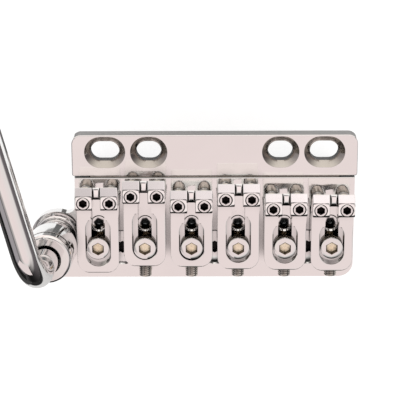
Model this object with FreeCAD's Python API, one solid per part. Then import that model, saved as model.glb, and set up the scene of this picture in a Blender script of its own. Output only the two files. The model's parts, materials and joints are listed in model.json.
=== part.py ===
import FreeCAD
import Part
import math
import os
from FreeCAD import Vector

# Guitar tremolo bridge: a fixed front plate, a tilting plate with six saddles, and a swing arm.
# Millimetres. X runs across the strings, +Y towards the neck, +Z out of the guitar's top.
# The origin is the middle of the screw slots, on the underside of the front plate.

# Strings
string_count = 6
string_pitch = 11.2

# Front plate, screwed to the guitar through four slots
front_plate_overhang = 0.6
front_plate_thickness = 4.0
slots_to_neck_edge = 4.2
slots_to_pivot_edge = 5.95
neck_corner_radius = 2.2
pivot_corner_radius = 0.6
front_edge_round = 0.25
outer_slot_spacing = 52.5
inner_slot_spacing = 31.5
slot_width = 4.8
outer_slot_travel = 2.1
inner_slot_travel = 1.2
countersink_width = 7.7

# Pivot between the two plates: a rod in a groove of each, below the gap
pivot_gap = 0.35
pivot_rod_diameter = 1.3
pivot_rod_inset = 3.6
pivot_depth = 1.05
pivot_seat_clearance = 0.02
pivot_running_clearance = 0.05
pivot_end_clearance = 0.2

# Bridge plate, level with the front plate's top
string_to_plate_edge = 5.6
bridge_plate_length = 25.3
bridge_plate_thickness = 2.6
tail_corner_radius = 3.5
pivot_edge_round = 0.3
lock_screw_setback = 16.16
string_hole_setback = 11.55
string_hole_diameter = 1.8
string_recess_diameter = 4.2
string_recess_depth = 0.5
string_recess_chamfer = 0.35
block_screw_setback = 17.65

# Ear that carries the arm, to the left of the bridge plate
ear_offset = 4.55
ear_setback = 14.8
ear_radius = 6.3
ear_inner_fillet = 2.0
ear_boss_radius = 5.5
ear_boss_height = 1.4
ear_boss_round = 0.6
ear_boss_to_saddle = 0.3
arm_lean_degrees = 4.65

# Saddles: heights are above the bridge plate's top, lengths run from the step behind the head
saddle_width = 10.0
long_saddle_length = 17.0
short_saddle_length = 14.8
saddle_head_top = 9.6
saddle_head_underside = 6.0
saddle_head_length = 5.6
saddle_head_flat_length = 3.2
saddle_crease_radius = 2.4
saddle_nose_height = 8.4
saddle_undercut_length = 1.9
saddle_step_round = 0.95
saddle_step_corner_radius = 0.4
saddle_body_top = 5.2
saddle_rim_round = 0.3
saddle_tail_corner_radius = 3.0
saddle_tail_wall = 1.7
saddle_heel_length = 4.0
saddle_heel_round = 0.5
saddle_relief_setback = 2.5
saddle_relief_rise = 0.9
saddle_seat_clearance = 0.02
pocket_width = 5.9
pocket_floor = 3.5
pocket_to_step = 2.9
screw_slot_width = 3.3
string_groove_width = 1.9
tongue_width = 1.15
tongue_tip_to_step = 2.5
tongue_bevel_length = 0.9
tongue_bevel_height = 0.5
tongue_top = 8.8

# Where each saddle stands along its pocket: 0 is nearest to the neck, 1 is furthest from it
intonation_shares = (0.25, 0.01, 0.06, 0.13, 0.24, 0.30)

# Pattern of each saddle: 0 is the short one, 1 is the long one
saddle_length_shares = (1, 1, 0, 1, 0, 0)

# Screws
saddle_screw_diameter = 3.0
screw_running_clearance = 0.05
height_screw_spacing = 6.14
height_screw_to_step = 1.85
height_screw_recess = 0.15
height_screw_cup_radius = 0.9
small_hex_across_flats = 1.5
small_hex_depth = 1.6
lock_head_diameter = 5.4
lock_head_height = 2.0
lock_head_chamfer = 0.35
lock_head_seat_clearance = 0.05
lock_head_side_clearance = 0.1
lock_thread_length = 5.9
large_hex_across_flats = 2.5
large_hex_depth = 1.5
intonation_screw_height = 1.7
intonation_screw_length = 6.5
first_intonation_screw_length = 5.1
intonation_tip_clearance = 0.05
intonation_point_length = 0.5
block_screw_diameter = 4.0
block_screw_head_diameter = 8.3
block_screw_countersink = 8.8
block_screw_hole_diameter = 4.4
block_screw_thread_length = 8.0
block_screw_shares = (-1, 0, 1)
block_screw_seat_clearance = 0.02

# Block under the bridge plate
block_side_inset = 1.6
block_thickness = 16.0
block_height = 36.0
block_setback = 6.3
block_edge_chamfer = 1.0
block_string_bore_diameter = 3.0
block_ball_bore_diameter = 4.4
block_ball_bore_depth = 24.0
block_screw_hole_extra_depth = 1.0
spring_hole_count = 5
spring_hole_diameter = 3.2
spring_hole_depth = 9.0
spring_hole_to_tail_face = 4.0

# Arm, its socket, bush and collar: heights run up the arm's axis from the bridge plate's top
arm_diameter = 6.4
arm_shank_bottom = -1.2
arm_bend_height = 24.8
arm_bend_radius = 7.6
arm_bar_length = 130.0
arm_heading_degrees = 14.5
arm_rise_degrees = 2.0
arm_end_round = 2.9
arm_running_clearance = 0.05
socket_thread_radius = 4.0
socket_thread_clearance = 0.02
socket_floor_thickness = 1.0
socket_flange_radius = 4.85
socket_flange_thickness = 2.4
socket_flange_round = 0.5
socket_spigot_radius = 4.1
socket_spigot_height = 5.5
collar_radius = 5.95
collar_foot_radius = 5.15
collar_foot_length = 1.6
collar_flare_length = 2.0
collar_length = 13.0
collar_seat_clearance = 0.1
collar_thread_clearance = 0.05
collar_mouth_radius = 3.6
collar_mouth_length = 2.3
collar_lip_round = 0.9
collar_foot_round = 0.5
collar_groove_depth = 0.35
collar_groove_width = 0.6
collar_groove_to_mouth = 2.6
bush_end_clearance = 0.1

# Length by which a cutting shape runs past the face that it cuts
overrun = 1.0

# Places worked out from the sizes above
diagonal_share = math.sqrt(0.5)
bridge_plate_width = (string_count - 1) * string_pitch + 2 * string_to_plate_edge
front_plate_width = bridge_plate_width + 2 * front_plate_overhang
block_width = bridge_plate_width - 2 * block_side_inset
pivot_rod_length = bridge_plate_width - 2 * pivot_rod_inset
plate_top = front_plate_thickness
pivot_edge_y = -slots_to_pivot_edge
pivot_y = pivot_edge_y - pivot_gap / 2
pivot_z = plate_top - pivot_depth
bridge_front_y = pivot_edge_y - pivot_gap
bridge_tail_y = bridge_front_y - bridge_plate_length
bridge_half_width = bridge_plate_width / 2
bridge_underside = plate_top - bridge_plate_thickness
lock_y = bridge_front_y - lock_screw_setback
string_hole_y = bridge_front_y - string_hole_setback
block_screw_y = bridge_front_y - block_screw_setback
ear_x = -bridge_half_width - ear_offset
ear_y = bridge_front_y - ear_setback
screw_radius = saddle_screw_diameter / 2
screw_hole_radius = screw_radius + screw_running_clearance
pocket_radius = pocket_width / 2
lock_head_radius = lock_head_diameter / 2
socket_top = ear_boss_height + socket_flange_thickness
collar_bottom = socket_top + collar_seat_clearance
collar_top = collar_bottom + collar_length
collar_bore_radius = socket_spigot_radius + collar_thread_clearance
arm_radius = arm_diameter / 2
arm_bore_radius = arm_radius + arm_running_clearance


def string_x(number):
    """X of a string, counted from 1 at the arm's side."""
    return (number - (string_count + 1) / 2) * string_pitch


def saddle_length(number):
    """Length of a saddle's body behind its head."""
    extra = long_saddle_length - short_saddle_length
    return short_saddle_length + saddle_length_shares[number - 1] * extra


def saddle_step_y(number):
    """Y of the step behind a saddle's head, from its share of the pocket's free travel."""
    pocket_length = saddle_length(number) - saddle_tail_wall - pocket_to_step
    head_room = lock_head_diameter + 2 * lock_head_side_clearance
    travel = pocket_length - head_room
    foremost = lock_y - head_room / 2 + saddle_length(number) - saddle_tail_wall
    return foremost - intonation_shares[number - 1] * travel


def face_from(edges):
    """Flat face inside a closed loop of edges."""
    return Part.Face(Part.Wire(Part.__sortEdges__(edges)))


def line(start, end):
    """Straight edge."""
    return Part.LineSegment(start, end).toShape()


def arc(start, middle, end):
    """Circular edge through three points."""
    return Part.Arc(start, middle, end).toShape()


def corner_point(centre, radius, degrees):
    """Point on a circle that lies flat, at an angle from +X."""
    angle = math.radians(degrees)
    return centre + Vector(radius * math.cos(angle), radius * math.sin(angle), 0)


def flat_arc(centre, radius, start_degrees, end_degrees):
    """Arc in a level plane between two angles."""
    middle = (start_degrees + end_degrees) / 2
    points = [corner_point(centre, radius, turn) for turn in (start_degrees, middle, end_degrees)]
    return arc(*points)


def rounded_rectangle(x0, x1, y0, y1, z, radii):
    """Level face with its own radius at each corner: tail right, tail left, neck left, neck right."""
    centres = (
        Vector(x1 - radii[0], y0 + radii[0], z),
        Vector(x0 + radii[1], y0 + radii[1], z),
        Vector(x0 + radii[2], y1 - radii[2], z),
        Vector(x1 - radii[3], y1 - radii[3], z),
    )
    starts = (270, 180, 90, 0)
    edges = []
    for index, centre in enumerate(centres):
        edges.append(flat_arc(centre, radii[index], starts[index], starts[index] + 90))
        following = (index + 1) % len(centres)
        leave = corner_point(centre, radii[index], starts[index])
        reach = corner_point(centres[following], radii[following], starts[following] + 90)
        edges.append(line(leave, reach))
    return face_from(edges)


def obround(start, end, radius):
    """Level slot outline round two centres, as a closed wire."""
    along = (end - start).normalize()
    across = Vector(-along.y, along.x, 0)
    edges = [
        line(start - across * radius, end - across * radius),
        arc(end - across * radius, end + along * radius, end + across * radius),
        line(end + across * radius, start + across * radius),
        arc(start + across * radius, start - along * radius, start - across * radius),
    ]
    return Part.Wire(edges)


def obround_prism(start, end, radius, height):
    """Upright slot-shaped solid."""
    return Part.Face(obround(start, end, radius)).extrude(Vector(0, 0, height))


def block_between(x0, x1, y0, y1, z0, z1):
    """Box between two corners."""
    return Part.makeBox(x1 - x0, y1 - y0, z1 - z0, Vector(x0, y0, z0))


def upright(radius, x, y, z0, z1):
    """Upright cylinder between two heights."""
    return Part.makeCylinder(radius, z1 - z0, Vector(x, y, z0))


def turned(profile):
    """Solid of revolution about Z from (radius, height) points."""
    points = [Vector(radius, 0, height) for radius, height in profile]
    outline = Part.makePolygon(points + points[:1])
    return Part.Face(outline).revolve(Vector(0, 0, 0), Vector(0, 0, 1), 360)


def hexagon_prism(across_flats, bottom, top):
    """Upright hexagon on the Z axis."""
    radius = across_flats / math.sqrt(3)
    points = [corner_point(Vector(0, 0, bottom), radius, 60 * turn) for turn in range(7)]
    return Part.Face(Part.makePolygon(points)).extrude(Vector(0, 0, top - bottom))


def edges_at(shape, test):
    """Edges of a shape whose two ends and middle all pass a test."""
    chosen = []
    for edge in shape.Edges:
        first, last = edge.ParameterRange
        points = [edge.valueAt(value) for value in (first, (first + last) / 2, last)]
        if all(test(point) for point in points):
            chosen.append(edge)
    return chosen


def close_to(value, target):
    """Whether two lengths agree to the modeller's tolerance."""
    return math.isclose(value, target, rel_tol=1e-6, abs_tol=1e-6)


def countersunk_slot(centre_x, travel):
    """Cutting shape of one screw slot: a straight slot with a right-angled cone at the top."""
    half = travel / 2
    sink = (countersink_width - slot_width) / 2
    low = plate_top - sink
    bottom = Vector(0, 0, -overrun)
    start = Vector(centre_x - half, 0, 0)
    end = Vector(centre_x + half, 0, 0)
    straight = obround_prism(start + bottom, end + bottom, slot_width / 2, plate_top + overrun)
    low_level = Vector(0, 0, low)
    high_level = Vector(0, 0, plate_top + overrun)
    narrow = obround(start + low_level, end + low_level, slot_width / 2)
    wide = obround(start + high_level, end + high_level, countersink_width / 2 + overrun)
    return straight.fuse(Part.makeLoft([narrow, wide], True, True))


def pivot_cylinder(radius, length):
    """Cylinder on the pivot's axis."""
    start = Vector(-length / 2, pivot_y, pivot_z)
    return Part.makeCylinder(radius, length, start, Vector(1, 0, 0))


def front_plate():
    """Fixed plate with its countersunk slots and half of the pivot groove."""
    half = front_plate_width / 2
    radii = (pivot_corner_radius, pivot_corner_radius, neck_corner_radius, neck_corner_radius)
    outline = rounded_rectangle(-half, half, pivot_edge_y, slots_to_neck_edge, 0, radii)
    plate = outline.extrude(Vector(0, 0, plate_top))
    rim = edges_at(plate, lambda point: close_to(point.z, plate_top))
    plate = plate.makeFillet(front_edge_round, rim)
    slots = ((outer_slot_spacing, outer_slot_travel), (inner_slot_spacing, inner_slot_travel))
    for spacing, travel in slots:
        for side in (-1, 1):
            plate = plate.cut(countersunk_slot(side * spacing / 2, travel))
    groove_radius = pivot_rod_diameter / 2 + pivot_seat_clearance
    return plate.cut(pivot_cylinder(groove_radius, pivot_rod_length + 2 * pivot_end_clearance))


def pivot_rod():
    """Hardened rod that the bridge plate rocks on."""
    return pivot_cylinder(pivot_rod_diameter / 2, pivot_rod_length)


def bridge_outline():
    """Level outline of the bridge plate with the arm's ear, at the plate's underside."""
    level = Vector(0, 0, bridge_underside)
    half = bridge_half_width
    tail_corner = Vector(half - tail_corner_radius, bridge_tail_y + tail_corner_radius, 0) + level
    ear_centre = Vector(ear_x, ear_y, 0) + level
    ear_tail = Vector(ear_x, bridge_tail_y + ear_radius, 0) + level
    fillet_x = -half - ear_inner_fillet
    reach = ear_radius + ear_inner_fillet
    fillet_centre = Vector(fillet_x, ear_y + math.sqrt(reach ** 2 - (fillet_x - ear_x) ** 2), 0) + level
    meeting = math.degrees(math.atan2(fillet_centre.y - ear_y, fillet_x - ear_x))
    front_right = Vector(half, bridge_front_y, 0) + level
    front_left = Vector(-half, bridge_front_y, 0) + level
    edges = [
        line(front_right, corner_point(tail_corner, tail_corner_radius, 0)),
        flat_arc(tail_corner, tail_corner_radius, 0, -90),
        line(corner_point(tail_corner, tail_corner_radius, -90), corner_point(ear_tail, ear_radius, -90)),
        flat_arc(ear_tail, ear_radius, 270, 180),
        line(corner_point(ear_tail, ear_radius, 180), corner_point(ear_centre, ear_radius, 180)),
        flat_arc(ear_centre, ear_radius, 180, meeting),
        flat_arc(fillet_centre, ear_inner_fillet, meeting - 180, 0),
        line(corner_point(fillet_centre, ear_inner_fillet, 0), front_left),
        line(front_left, front_right),
    ]
    return face_from(edges)


def block_screw_x(share):
    """X of a block screw, between pairs of strings."""
    return share * 2 * string_pitch


def bridge_plate():
    """Tilting plate with its ear and boss, screw holes, string holes and half of the pivot groove."""
    plate = bridge_outline().extrude(Vector(0, 0, bridge_plate_thickness))

    def on_pivot_edge(point):
        return close_to(point.y, bridge_front_y) and close_to(point.z, plate_top)

    plate = plate.makeFillet(pivot_edge_round, edges_at(plate, on_pivot_edge))
    plate = plate.fuse(ear_boss())
    socket_hole = upright(socket_thread_radius + socket_thread_clearance, 0, 0,
                          -bridge_plate_thickness - overrun, ear_boss_height + overrun)
    plate = plate.cut(on_arm_axis(socket_hole))
    low = bridge_underside - overrun
    high = plate_top + overrun
    for number in range(1, string_count + 1):
        plate = plate.cut(upright(screw_hole_radius, string_x(number), lock_y, low, high))
        string_hole = turned(string_hole_profile())
        string_hole.translate(Vector(string_x(number), string_hole_y, 0))
        plate = plate.cut(string_hole)
    for share in block_screw_shares:
        sink = turned(countersink_profile())
        sink.translate(Vector(block_screw_x(share), block_screw_y, 0))
        plate = plate.cut(sink)
    groove_radius = pivot_rod_diameter / 2 + pivot_running_clearance
    return plate.cut(pivot_cylinder(groove_radius, pivot_rod_length + 2 * pivot_end_clearance))


def ear_boss():
    """Round boss on the ear that the arm's socket seats on."""
    boss = upright(ear_boss_radius, 0, 0, -bridge_plate_thickness / 2, ear_boss_height)
    rim = edges_at(boss, lambda point: close_to(point.z, ear_boss_height))
    boss = on_arm_axis(boss.makeFillet(ear_boss_round, rim))
    flat_x = string_x(1) - saddle_width / 2 - ear_boss_to_saddle
    reach = ear_boss_radius + overrun
    beside_saddle = block_between(flat_x, ear_x + reach, ear_y - reach, ear_y + reach,
                                  plate_top, plate_top + ear_boss_height + overrun)
    return boss.cut(beside_saddle)


def string_hole_profile():
    """Outline of a string's hole with the bevelled recess round its mouth."""
    hole = string_hole_diameter / 2
    rim = string_recess_diameter / 2
    wall = rim - string_recess_chamfer
    ledge = plate_top - string_recess_depth
    return (
        (0, bridge_underside - overrun),
        (hole, bridge_underside - overrun),
        (hole, ledge),
        (wall, ledge),
        (wall, plate_top - string_recess_chamfer),
        (rim + overrun, plate_top + overrun),
        (0, plate_top + overrun),
    )


def countersink_profile():
    """Outline of a block screw's countersunk hole."""
    hole = block_screw_hole_diameter / 2
    rim = block_screw_countersink / 2
    return (
        (0, bridge_underside - overrun),
        (hole, bridge_underside - overrun),
        (hole, plate_top - (rim - hole)),
        (rim + overrun, plate_top + overrun),
        (0, plate_top + overrun),
    )


def block_screws():
    """Three countersunk screws that hold the block to the bridge plate."""
    head = block_screw_head_diameter / 2
    thread = block_screw_diameter / 2
    top = plate_top - (block_screw_countersink - block_screw_head_diameter) / 2 + block_screw_seat_clearance
    neck = top - (head - thread)
    bottom = bridge_underside - block_screw_thread_length
    screw = turned(((0, bottom), (thread, bottom), (thread, neck), (head, top), (0, top)))
    screw = screw.cut(hexagon_prism(large_hex_across_flats, top - large_hex_depth, top + overrun))
    screws = []
    for share in block_screw_shares:
        copy = screw.copy()
        copy.translate(Vector(block_screw_x(share), block_screw_y, 0))
        screws.append(copy)
    return Part.makeCompound(screws)


def sustain_block():
    """Block under the plate, bored for the strings and drilled for the return springs."""
    half = block_width / 2
    neck_face = bridge_front_y - block_setback
    tail_face = neck_face - block_thickness
    bottom = bridge_underside - block_height
    block = block_between(-half, half, tail_face, neck_face, bottom, bridge_underside)
    foot = edges_at(block, lambda point: close_to(point.z, bottom))
    block = block.makeChamfer(block_edge_chamfer, foot)
    low = bottom - overrun
    high = bridge_underside + overrun
    ball_top = bottom + block_ball_bore_depth
    for number in range(1, string_count + 1):
        x = string_x(number)
        block = block.cut(upright(block_string_bore_diameter / 2, x, string_hole_y, low, high))
        block = block.cut(upright(block_ball_bore_diameter / 2, x, string_hole_y, low, ball_top))
    for share in block_screw_shares:
        depth = block_screw_thread_length + block_screw_hole_extra_depth
        radius = block_screw_diameter / 2 + screw_running_clearance
        hole = upright(radius, block_screw_x(share), block_screw_y,
                       bridge_underside - depth, bridge_underside + overrun)
        block = block.cut(hole)
    for index in range(spring_hole_count):
        x = (index - (spring_hole_count - 1) / 2) * string_pitch
        y = tail_face + spring_hole_to_tail_face
        block = block.cut(upright(spring_hole_diameter / 2, x, y, low, bottom + spring_hole_depth))
    return block


def side_profile(length):
    """Side view of a saddle on its string's plane: low slotted body, ramp and overhanging head."""
    tail = -length
    rim_inset = saddle_rim_round * (1 - diagonal_share)
    heel_inset = saddle_heel_round * (1 - diagonal_share)
    step_inset = saddle_step_round * (1 - diagonal_share)
    fall = math.atan2(saddle_head_top - saddle_nose_height, saddle_head_length - saddle_head_flat_length)
    tangent = saddle_crease_radius * math.tan(fall / 2)
    flat_end = saddle_head_flat_length - tangent

    def at(y, z):
        return Vector(0, y, z)

    rim_low = at(tail, saddle_body_top - saddle_rim_round)
    rim_high = at(tail + saddle_rim_round, saddle_body_top)
    step_low = at(0, saddle_head_top - saddle_step_round)
    step_high = at(saddle_step_round, saddle_head_top)
    crease_start = at(flat_end, saddle_head_top)
    crease_middle = at(flat_end + saddle_crease_radius * math.sin(fall / 2),
                       saddle_head_top - saddle_crease_radius * (1 - math.cos(fall / 2)))
    crease_end = at(saddle_head_flat_length + tangent * math.cos(fall),
                    saddle_head_top - tangent * math.sin(fall))
    nose = at(saddle_head_length, saddle_nose_height)
    heel_low = at(tail + saddle_heel_round, 0)
    heel_high = at(tail, saddle_heel_round)
    ramp_top = at(saddle_head_length - saddle_undercut_length, saddle_head_underside)
    ramp_foot = at(-saddle_relief_setback, saddle_relief_rise)
    heel_front = at(tail + saddle_heel_length, 0)
    edges = [
        line(heel_high, rim_low),
        arc(rim_low, at(tail + rim_inset, saddle_body_top - rim_inset), rim_high),
        line(rim_high, at(0, saddle_body_top)),
        line(at(0, saddle_body_top), step_low),
        arc(step_low, at(step_inset, saddle_head_top - step_inset), step_high),
        line(step_high, crease_start),
        arc(crease_start, crease_middle, crease_end),
        line(crease_end, nose),
        line(nose, ramp_top),
        line(ramp_top, ramp_foot),
        line(ramp_foot, heel_front),
        line(heel_front, heel_low),
        arc(heel_low, at(tail + heel_inset, heel_inset), heel_high),
    ]
    return face_from(edges)


def tongue_crown():
    """Raised bar that the string bends over, with bevelled sides and a bevelled end."""
    front = saddle_head_length + 2 * overrun
    outlines = (
        (string_groove_width / 2, tongue_tip_to_step, tongue_top - tongue_bevel_height),
        (tongue_width / 2, tongue_tip_to_step + tongue_bevel_length, tongue_top))
    levels = []
    for half, tip, height in outlines:
        corners = ((-half, tip), (half, tip), (half, front), (-half, front))
        points = [Vector(x, y, height) for x, y in corners]
        levels.append(Part.makePolygon(points + points[:1]))
    return Part.makeLoft(levels, True, True)


def string_slot():
    """Cutting shape of the string's slot through the head, which leaves the tongue at its end."""
    half = string_groove_width / 2
    start = -screw_slot_width / 2
    high = saddle_head_top + overrun
    slot = block_between(-half, half, start, tongue_tip_to_step, -overrun, high)
    groove = block_between(-half, half, start, saddle_head_length + overrun,
                           tongue_top - tongue_bevel_height, high)
    return slot.fuse(groove.cut(tongue_crown()))


def saddle_slots(length):
    """Cutting shape of a saddle's pocket, screw slot and string slot."""
    tail_centre = -length + saddle_tail_wall + pocket_radius
    pocket = obround_prism(Vector(0, tail_centre, pocket_floor),
                           Vector(0, -pocket_to_step - pocket_radius, pocket_floor),
                           pocket_radius, saddle_body_top)
    slot_radius = screw_slot_width / 2
    screw_slot = obround_prism(Vector(0, tail_centre, -overrun), Vector(0, -slot_radius, -overrun),
                               slot_radius, saddle_head_top + overrun)
    screw_slot = screw_slot.common(
        block_between(-saddle_width, saddle_width, -length, 0, -overrun, saddle_head_top + overrun))
    return pocket.fuse([screw_slot, string_slot()])


def step_corners():
    """Cutting shapes that round the upright corners of the head's two blocks at the step."""
    radius = saddle_step_corner_radius
    high = saddle_head_top + overrun
    corners = []
    for side_sign in (-1, 1):
        for edge_x, inward in ((saddle_width / 2, -1), (string_groove_width / 2, 1)):
            corner = block_between(0, radius, 0, radius, saddle_body_top, high)
            corner = corner.cut(upright(radius, radius, radius, saddle_body_top - overrun, high + overrun))
            if side_sign * inward < 0:
                corner = corner.mirror(Vector(0, 0, 0), Vector(1, 0, 0))
            corner.translate(Vector(side_sign * edge_x, 0, 0))
            corners.append(corner)
    return corners


def saddle(number):
    """One saddle in its place."""
    length = saddle_length(number)
    half = saddle_width / 2
    side = side_profile(length).extrude(Vector(saddle_width, 0, 0))
    side.translate(Vector(-half, 0, 0))
    corner = saddle_tail_corner_radius
    plan = rounded_rectangle(-half, half, -length, saddle_head_length + corner, -overrun,
                             (corner, corner, corner, corner))
    body = side.common(plan.extrude(Vector(0, 0, saddle_head_top + 2 * overrun)))
    body = body.cut(saddle_slots(length)).cut(step_corners())
    for side_sign in (-1, 1):
        body = body.cut(upright(screw_hole_radius, side_sign * height_screw_spacing / 2,
                                height_screw_to_step, -overrun, saddle_head_top + overrun))
    bore_start = Vector(0, -length - overrun, intonation_screw_height)
    bore_length = overrun + saddle_tail_wall + pocket_radius
    body = body.cut(Part.makeCylinder(screw_hole_radius, bore_length, bore_start, Vector(0, 1, 0)))
    body = body.removeSplitter()
    body.translate(Vector(string_x(number), saddle_step_y(number), plate_top + saddle_seat_clearance))
    return body


def height_screw(number, side_sign):
    """Set screw in a saddle's head, standing on the bridge plate."""
    top = saddle_head_top - height_screw_recess
    taper = screw_radius - height_screw_cup_radius
    screw = turned((
        (0, 0), (height_screw_cup_radius, 0), (screw_radius, taper), (screw_radius, top), (0, top)))
    screw = screw.cut(hexagon_prism(small_hex_across_flats, top - small_hex_depth, top + overrun))
    screw.translate(Vector(string_x(number) + side_sign * height_screw_spacing / 2,
                           saddle_step_y(number) + height_screw_to_step,
                           plate_top + saddle_seat_clearance))
    return screw


def lock_screw(number):
    """Socket-head screw that clamps a saddle to the bridge plate."""
    seat = pocket_floor + saddle_seat_clearance + lock_head_seat_clearance
    top = seat + lock_head_height
    rim = lock_head_radius - lock_head_chamfer
    screw = turned((
        (0, seat - lock_thread_length), (screw_radius, seat - lock_thread_length), (screw_radius, seat),
        (lock_head_radius, seat), (lock_head_radius, top - lock_head_chamfer), (rim, top), (0, top)))
    screw = screw.cut(hexagon_prism(large_hex_across_flats, top - large_hex_depth, top + overrun))
    screw.translate(Vector(string_x(number), lock_y, plate_top))
    return screw


def intonation_screw(number):
    """Set screw through a saddle's tail wall that bears on the lock screw's shank."""
    length = first_intonation_screw_length if number == 1 else intonation_screw_length
    point = screw_radius - intonation_point_length
    screw = turned((
        (0, 0), (screw_radius, 0), (screw_radius, length - intonation_point_length),
        (point, length), (0, length)))
    screw = screw.cut(hexagon_prism(small_hex_across_flats, -overrun, small_hex_depth))
    screw.rotate(Vector(0, 0, 0), Vector(1, 0, 0), -90)
    tip_y = lock_y - screw_radius - intonation_tip_clearance
    height = plate_top + saddle_seat_clearance + intonation_screw_height
    screw.translate(Vector(string_x(number), tip_y - length, height))
    return screw


def on_arm_axis(shape):
    """Move a shape built on the Z axis to the arm's axis, which leans away from the strings."""
    moved = shape.copy()
    moved.rotate(Vector(0, 0, 0), Vector(0, 1, 0), -arm_lean_degrees)
    moved.translate(Vector(ear_x, ear_y, plate_top))
    return moved


def arm_socket():
    """Flanged holder screwed into the ear, with a blind bore for the arm's foot."""
    bottom = -bridge_plate_thickness
    flange_rim = socket_flange_radius - socket_flange_round
    profile = (
        (0, bottom), (socket_thread_radius, bottom), (socket_thread_radius, ear_boss_height),
        (socket_flange_radius, ear_boss_height), (socket_flange_radius, socket_top - socket_flange_round),
        (flange_rim, socket_top), (socket_spigot_radius, socket_top),
        (socket_spigot_radius, socket_top + socket_spigot_height),
        (arm_bore_radius, socket_top + socket_spigot_height),
        (arm_bore_radius, bottom + socket_floor_thickness), (0, bottom + socket_floor_thickness))
    return on_arm_axis(turned(profile))


def arm_bush():
    """Plain bush above the socket, inside the collar."""
    bottom = socket_top + socket_spigot_height + bush_end_clearance
    top = collar_top - collar_mouth_length - bush_end_clearance
    outer = upright(socket_spigot_radius, 0, 0, bottom, top)
    return on_arm_axis(outer.cut(upright(arm_bore_radius, 0, 0, bottom - overrun, top + overrun)))


def arm_collar():
    """Polished sleeve nut over the socket, flared above its foot, with a rounded lip and a groove."""
    mouth = collar_top - collar_mouth_length
    groove_top = collar_top - collar_groove_to_mouth
    groove_bottom = groove_top - collar_groove_width
    groove_radius = collar_radius - collar_groove_depth
    flare_bottom = collar_bottom + collar_foot_length
    profile = (
        (collar_bore_radius, collar_bottom), (collar_foot_radius, collar_bottom),
        (collar_foot_radius, flare_bottom), (collar_radius, flare_bottom + collar_flare_length),
        (collar_radius, groove_bottom), (groove_radius, groove_bottom),
        (groove_radius, groove_top), (collar_radius, groove_top),
        (collar_radius, collar_top), (collar_mouth_radius, collar_top),
        (collar_mouth_radius, mouth), (collar_bore_radius, mouth))
    collar = turned(profile)
    lip = edges_at(collar, lambda point: close_to(point.z, collar_top)
                   and close_to(math.hypot(point.x, point.y), collar_radius))
    collar = collar.makeFillet(collar_lip_round, lip)
    foot = edges_at(collar, lambda point: close_to(point.z, collar_bottom)
                    and close_to(math.hypot(point.x, point.y), collar_foot_radius))
    return on_arm_axis(collar.makeFillet(collar_foot_round, foot))


def arm():
    """Bent bar: foot in the socket, one bend, and a straight bar with a domed end."""
    turn = math.radians(90 - arm_rise_degrees)
    bend_centre = Vector(0, arm_bend_radius, arm_bend_height)

    def on_bend(angle):
        return bend_centre + Vector(0, -arm_bend_radius * math.cos(angle), arm_bend_radius * math.sin(angle))

    foot = Vector(0, 0, arm_shank_bottom)
    along = Vector(0, math.sin(turn), math.cos(turn))
    bar_end = on_bend(turn) + along * arm_bar_length
    path = Part.Wire([
        line(foot, on_bend(0)),
        arc(on_bend(0), on_bend(turn / 2), on_bend(turn)),
        line(on_bend(turn), bar_end),
    ])
    section = Part.Wire([Part.makeCircle(arm_radius, foot, Vector(0, 0, 1))])
    bar = path.makePipeShell([section], True, True)
    rim = edges_at(bar, lambda point: close_to((point - bar_end).dot(along), 0))
    bar = bar.makeFillet(arm_end_round, rim)
    bar.rotate(Vector(0, 0, 0), Vector(0, 0, 1), arm_heading_degrees)
    return on_arm_axis(bar)


def all_nodes():
    """Every piece by its node's name."""
    nodes = {
        "front_plate": front_plate(),
        "pivot_rod": pivot_rod(),
        "bridge_plate": bridge_plate(),
        "sustain_block": sustain_block(),
        "block_screws": block_screws(),
        "arm_socket": arm_socket(),
        "arm_bush": arm_bush(),
        "arm_collar": arm_collar(),
        "arm": arm(),
    }
    for number in range(1, string_count + 1):
        nodes[f"saddle_{number}"] = saddle(number)
        nodes[f"height_screw_{number}_left"] = height_screw(number, -1)
        nodes[f"height_screw_{number}_right"] = height_screw(number, 1)
        nodes[f"lock_screw_{number}"] = lock_screw(number)
        nodes[f"intonation_screw_{number}"] = intonation_screw(number)
    return nodes


os.makedirs("parts", exist_ok=True)
for node_name, node_shape in all_nodes().items():
    node_shape.exportStep(f"parts/{node_name}.step")
    print(node_name, len(node_shape.Solids), node_shape.isValid(), round(node_shape.Volume, 1))
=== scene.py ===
"""Looks of a guitar tremolo bridge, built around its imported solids.

Metres, in the frame of the solids: +X across the strings, +Y towards the neck, +Z out of the guitar.
"""

import json
import logging
import math
from dataclasses import dataclass, replace
from enum import Enum, IntEnum
from typing import Any, Callable, Sequence

import bmesh
import bpy
from bpy.types import Material, Mesh, Node, NodeOutputs, NodeSocket, NodeTree, Object
from mathutils import Matrix, Vector

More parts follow.
